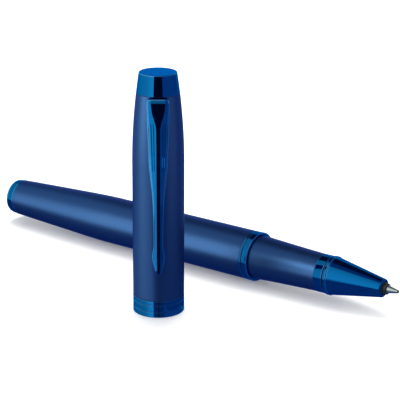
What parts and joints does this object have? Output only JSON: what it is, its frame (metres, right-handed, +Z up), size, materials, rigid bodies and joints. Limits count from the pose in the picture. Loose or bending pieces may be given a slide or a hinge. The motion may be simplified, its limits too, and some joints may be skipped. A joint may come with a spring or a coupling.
{
  "type": "rollerball pen",
  "caption": "Capped rollerball pen shown uncapped: a tapered metal barrel and grip with bright rings, a conical nose with its writing point, and a cap with a spring clip.",
  "frame": {"origin": "on the supporting surface, below the middle of the whole object's box, with the cap standing beside the lying pen", "axes": "+X along the pen towards its writing tip, +Z up along the cap, +Y from the cap towards the pen"},
  "size_m": [0.1262, 0.045, 0.06],
  "materials": {
    "satin_blue": "satin lacquer over metal",
    "gloss_blue": "mirror-bright blue vapour coating",
    "black_plastic": "moulded, matt",
    "grey_plastic": "moulded, matt",
    "natural_plastic": "milky refill tube",
    "steel": "turned stainless",
    "brass": "turned brass",
    "carbide": "ground hard metal",
    "rubber": "moulded seal",
    "felt": "ink-soaked fibre"
  },
  "bodies": {
    "section": {"section_ring": "gloss_blue", "section_thread_sleeve": "black_plastic", "grip_tube": "satin_blue", "grip_collar": "gloss_blue", "section_o_ring": "rubber", "nose_cone": "gloss_blue", "nose_bush": "grey_plastic"},
    "cap": {"cap_tube": "satin_blue", "cap_crown": "gloss_blue", "crown_stud": "brass", "crown_nut": "brass", "clip_retainer": "steel", "inner_cap": "black_plastic", "cap_ring": "gloss_blue"},
    "clip": {"clip": "gloss_blue"},
    "thread_ring": {"centre_trim_ring": "gloss_blue"},
    "spring_end": {"spring_seat": "black_plastic", "refill_spring": "steel"},
    "barrel": {"barrel_tube": "satin_blue", "barrel_end_cap": "gloss_blue", "barrel_thread_insert": "brass"},
    "refill": {"refill_tube": "natural_plastic", "refill_rear_plug": "black_plastic", "refill_nose": "black_plastic", "refill_stop_ring": "black_plastic", "refill_tip": "steel", "ink_reservoir": "felt", "feed_wick": "felt"},
    "ball": {"writing_ball": "carbide"}
  },
  "joints": [
    {"name": "cap_lift", "type": "slide", "parent": "section", "child": "cap", "axis": [0, 0, 1], "range_m": [0, 0.05]},
    {"name": "clip_flex", "type": "hinge", "parent": "cap", "child": "clip", "pos_m": [0.01628, -0.01905, 0.054], "axis": [-0.788, -0.6157, 0], "range_deg": [0, 3], "stiffness_Nm_per_rad": 0.9},
    {"name": "thread_travel", "type": "slide", "parent": "section", "child": "thread_ring", "axis": [-1, 0, 0], "range_m": [0, 0.005]},
    {"name": "barrel_pull", "type": "slide", "parent": "thread_ring", "child": "spring_end", "axis": [-1, 0, 0], "range_m": [0, 0.075]},
    {"name": "barrel_turn", "type": "hinge", "parent": "spring_end", "child": "barrel", "pos_m": [0, 0.01606, 0.00642], "axis": [-1, 0, 0], "range_deg": [0, 1800]},
    {"name": "refill_push", "type": "slide", "parent": "section", "child": "refill", "axis": [-1, 0, 0], "range_m": [0, 0.0015], "stiffness_N_per_m": 400, "springref_m": -0.002, "deforming": ["refill_spring"]},
    {"name": "ball_spin", "type": "hinge", "parent": "refill", "child": "ball", "pos_m": [0.06271, 0.01606, 0.00642], "axis": [0, 1, 0], "continuous": true}
  ],
  "couplings": [
    {"joint": "thread_travel", "follows": "barrel_turn", "m_per_rad": 0.00015915}
  ]
}
